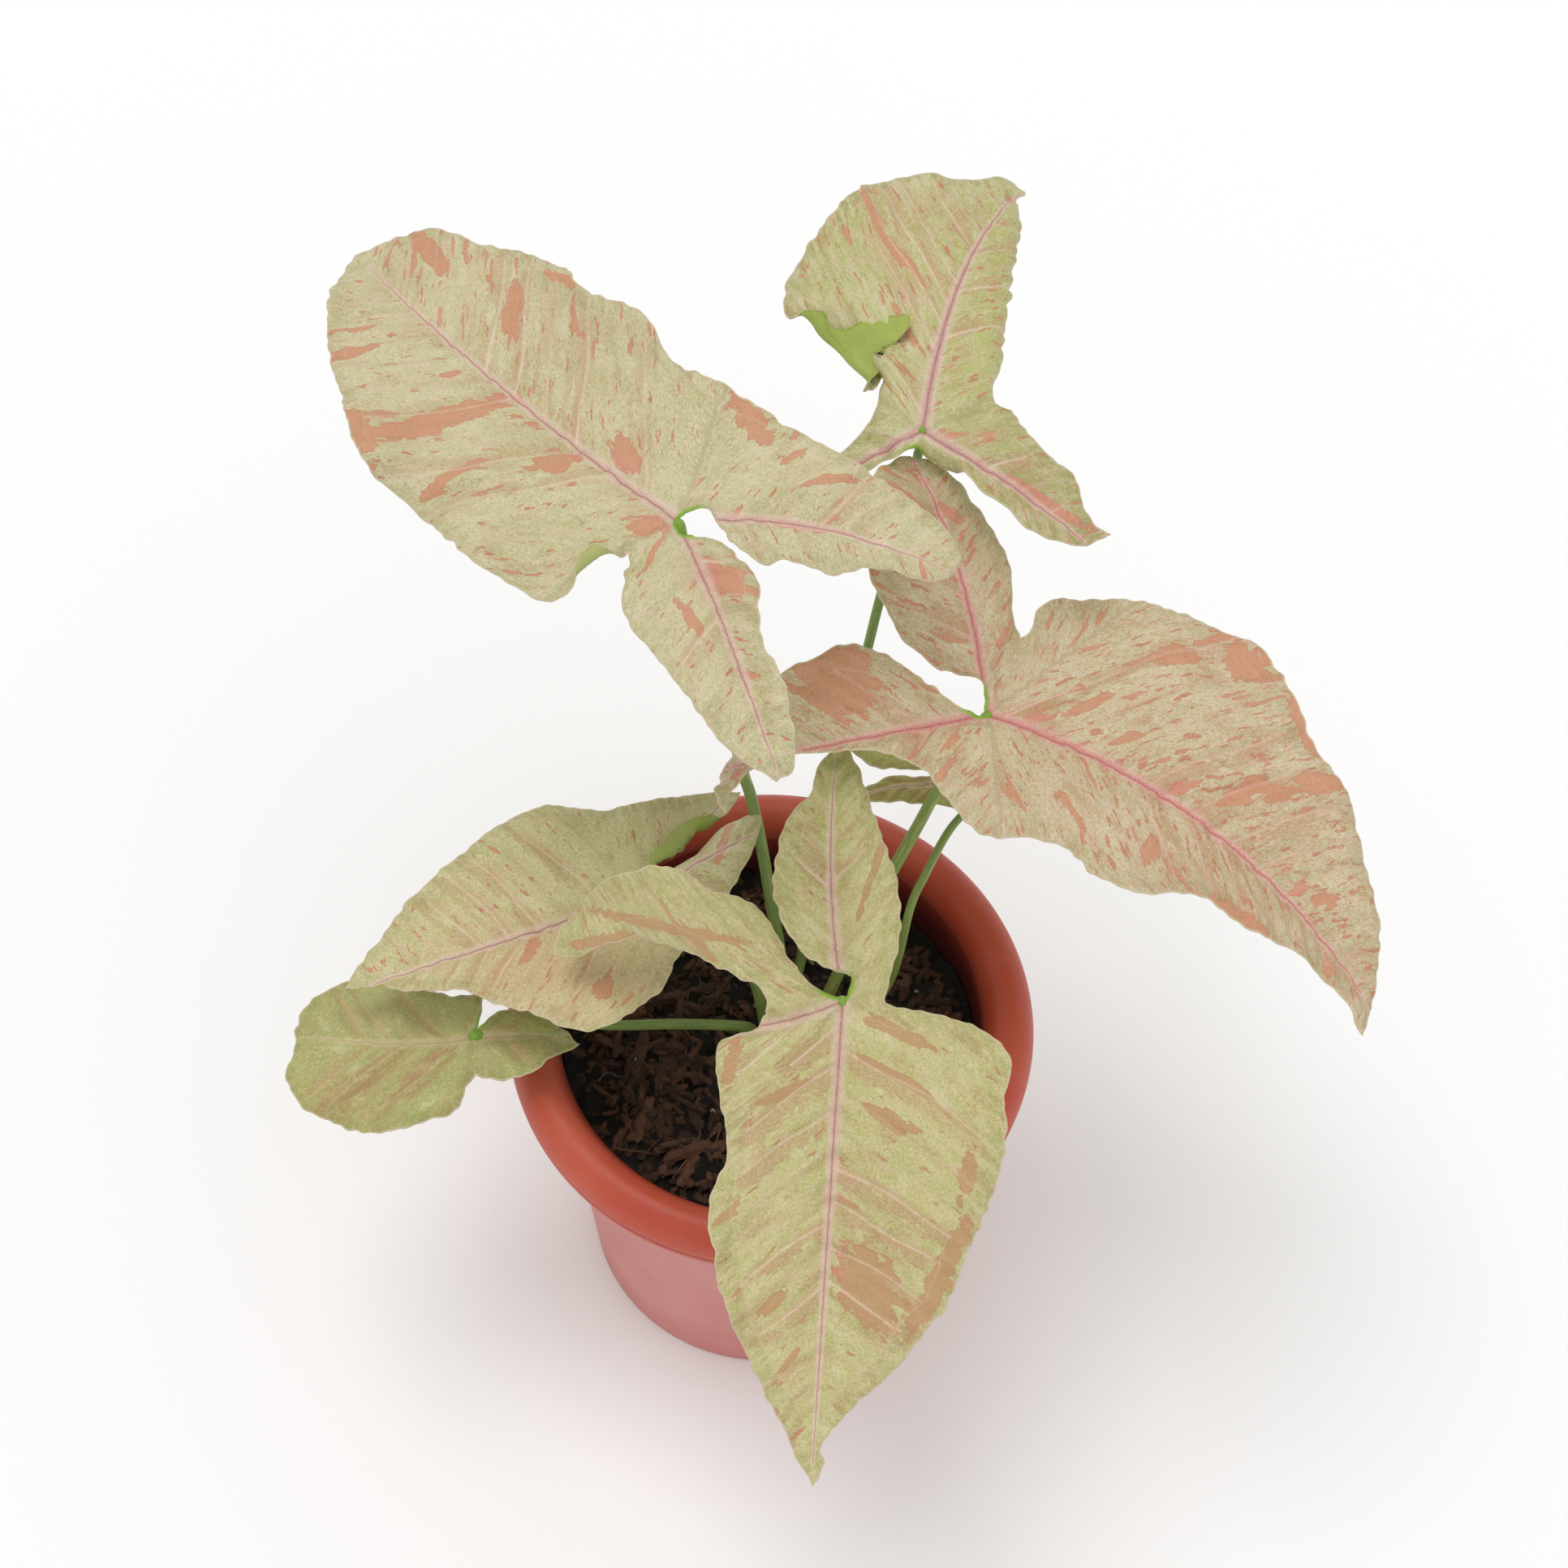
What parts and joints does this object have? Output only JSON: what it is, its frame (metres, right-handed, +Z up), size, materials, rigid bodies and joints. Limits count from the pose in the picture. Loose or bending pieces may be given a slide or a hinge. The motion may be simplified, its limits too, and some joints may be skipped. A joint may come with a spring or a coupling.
{
  "type": "arrowhead plant in a pot",
  "caption": "Potted arrowhead plant: pink-blotched arrow-shaped leaf blades on bare stalks, standing in dark bark mix in a round tapered plastic pot with a rolled rim.",
  "frame": {"origin": "Centre of the pot's flat underside, on the surface it stands on", "axes": "+Z up out of the pot along its axis, -Y towards the front that the picture shows, +X to the picture's right"},
  "size_m": [0.2688, 0.3068, 0.2842],
  "materials": {
    "pot_plastic": "terracotta-coloured moulded plastic with a soft sheen, faintly scuffed",
    "potting_mix": "damp dark bark chips and fibre",
    "leaf_blade": "satin leaf skin, cream-green with salmon-pink blotches and veins",
    "leaf_stalk": "smooth green leaf stalk with a soft sheen"
  },
  "bodies": {
    "root": {"pot": "pot_plastic", "soil": "potting_mix", "leaf_a": "leaf_blade", "leaf_b": "leaf_blade", "leaf_c": "leaf_blade", "leaf_d": "leaf_blade", "leaf_e": "leaf_blade", "leaf_f": "leaf_blade", "leaf_g": "leaf_blade", "stalk_a": "leaf_stalk", "stalk_b": "leaf_stalk", "stalk_c": "leaf_stalk", "stalk_d": "leaf_stalk", "stalk_e": "leaf_stalk", "stalk_f": "leaf_stalk", "stalk_g": "leaf_stalk"}
  },
  "joints": []
}
